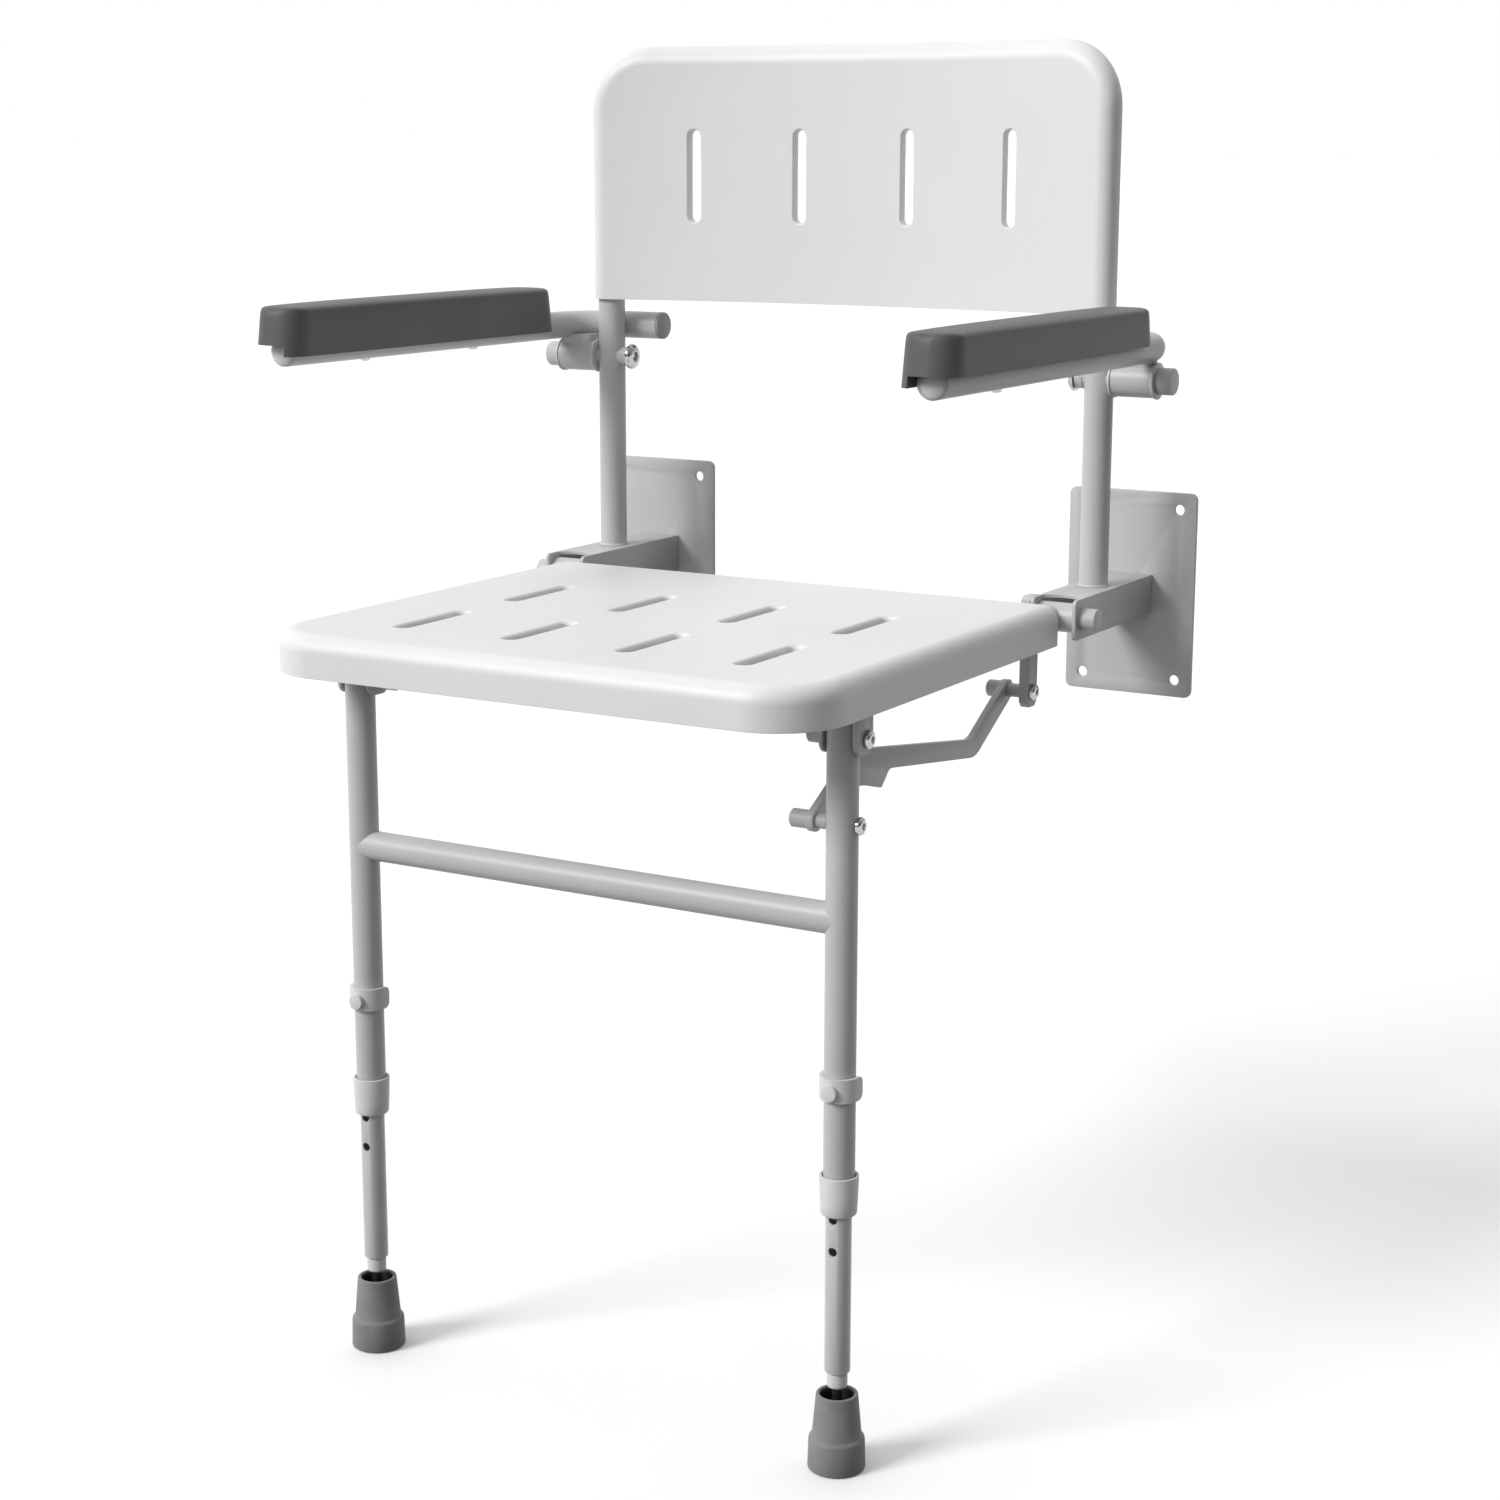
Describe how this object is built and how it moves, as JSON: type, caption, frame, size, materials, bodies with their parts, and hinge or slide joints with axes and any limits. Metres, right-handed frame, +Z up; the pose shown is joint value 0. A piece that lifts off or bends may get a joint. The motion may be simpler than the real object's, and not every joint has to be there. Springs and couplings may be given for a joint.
{
  "type": "wall-mounted folding shower seat",
  "caption": "Fold-up shower seat on two wall plates, with a hollow-curved backrest, padded lift-up arms and folding front legs of adjustable height.",
  "frame": {"origin": "on the wall plane, midway between the two wall plates, at the height of the seat hinge", "axes": "+Z up, +Y into the wall, so the seat stands out along -Y; +X is the right-hand side for someone facing the wall, and left and right in the names follow that"},
  "size_m": [0.616, 0.59, 1.0685],
  "materials": {
    "frame_coat": "satin light grey powder coat",
    "white_moulding": "satin white moulded plastic",
    "pale_plastic": "off-white moulded plastic",
    "arm_pad": "dark grey soft-touch moulding",
    "ferrule": "mid grey rubber",
    "chrome_screw": "bright",
    "end_cap": "grey moulded cap"
  },
  "bodies": {
    "wall_frame": {"back_hoop": "frame_coat", "backrest": "white_moulding", "wall_plate_left": "frame_coat", "wall_arm_left": "frame_coat", "hinge_pin_left": "frame_coat", "arm_axle_left": "frame_coat", "arm_axle_screw_left": "chrome_screw", "wall_plate_right": "frame_coat", "wall_arm_right": "frame_coat", "hinge_pin_right": "frame_coat", "arm_axle_right": "frame_coat", "arm_axle_screw_right": "chrome_screw", "drop_bar": "frame_coat", "link_rear_pin": "frame_coat", "link_rear_screw": "chrome_screw"},
    "seat": {"seat_shell": "white_moulding", "seat_cross_tube_rear": "frame_coat", "seat_cross_tube_front": "frame_coat", "seat_rail_left": "frame_coat", "leg_bracket_left": "frame_coat", "leg_pivot_pin_left": "frame_coat", "leg_pivot_screw_left": "chrome_screw", "seat_rail_right": "frame_coat", "leg_bracket_right": "frame_coat", "leg_pivot_pin_right": "frame_coat", "leg_pivot_screw_right": "chrome_screw"},
    "front_legs": {"leg_crossbar": "frame_coat", "outer_leg_left": "frame_coat", "leg_collar_left": "pale_plastic", "outer_leg_right": "frame_coat", "leg_collar_right": "pale_plastic", "link_front_pin": "frame_coat", "link_front_screw": "chrome_screw"},
    "foot_leg_left": {"inner_leg_left": "frame_coat", "leg_plug_left": "pale_plastic", "ferrule_left": "ferrule"},
    "clip_left": {"height_clip_left": "pale_plastic"},
    "arm_left": {"arm_tube_left": "frame_coat", "arm_bush_inner_left": "pale_plastic", "arm_bush_outer_left": "pale_plastic", "arm_pad_left": "arm_pad", "arm_front_plug_left": "pale_plastic", "arm_rear_cap_left": "end_cap"},
    "foot_leg_right": {"inner_leg_right": "frame_coat", "leg_plug_right": "pale_plastic", "ferrule_right": "ferrule"},
    "clip_right": {"height_clip_right": "pale_plastic"},
    "arm_right": {"arm_tube_right": "frame_coat", "arm_bush_inner_right": "pale_plastic", "arm_bush_outer_right": "pale_plastic", "arm_pad_right": "arm_pad", "arm_front_plug_right": "pale_plastic", "arm_rear_cap_right": "end_cap"},
    "link": {"fold_link": "frame_coat"}
  },
  "joints": [
    {"name": "seat_fold", "type": "hinge", "parent": "wall_frame", "child": "seat", "pos_m": [0, -0.153, 0], "axis": [-1, 0, 0], "range_deg": [0, 90]},
    {"name": "leg_fold", "type": "hinge", "parent": "seat", "child": "front_legs", "pos_m": [0, -0.481, -0.0415], "axis": [-1, 0, 0], "range_deg": [-90, 0]},
    {"name": "link_swing", "type": "hinge", "parent": "wall_frame", "child": "link", "pos_m": [0.194, -0.159, -0.0635], "axis": [-1, 0, 0], "range_deg": [0, 90]},
    {"name": "leg_height_left", "type": "slide", "parent": "front_legs", "child": "foot_leg_left", "axis": [0, 0, 1], "range_m": [-0.0254, 0.127]},
    {"name": "clip_pull_left", "type": "slide", "parent": "front_legs", "child": "clip_left", "axis": [0, -1, 0], "range_m": [0, 0.008]},
    {"name": "arm_lift_left", "type": "hinge", "parent": "wall_frame", "child": "arm_left", "pos_m": [-0.27, -0.085, 0.1885], "axis": [-1, 0, 0], "range_deg": [0, 92]},
    {"name": "leg_height_right", "type": "slide", "parent": "front_legs", "child": "foot_leg_right", "axis": [0, 0, 1], "range_m": [-0.0254, 0.127]},
    {"name": "clip_pull_right", "type": "slide", "parent": "front_legs", "child": "clip_right", "axis": [0, -1, 0], "range_m": [0, 0.008]},
    {"name": "arm_lift_right", "type": "hinge", "parent": "wall_frame", "child": "arm_right", "pos_m": [0.27, -0.085, 0.1885], "axis": [-1, 0, 0], "range_deg": [0, 92]}
  ],
  "couplings": [
    {"joint": "leg_fold", "follows": "seat_fold", "ratio": -1},
    {"joint": "link_swing", "follows": "seat_fold", "ratio": 1}
  ]
}
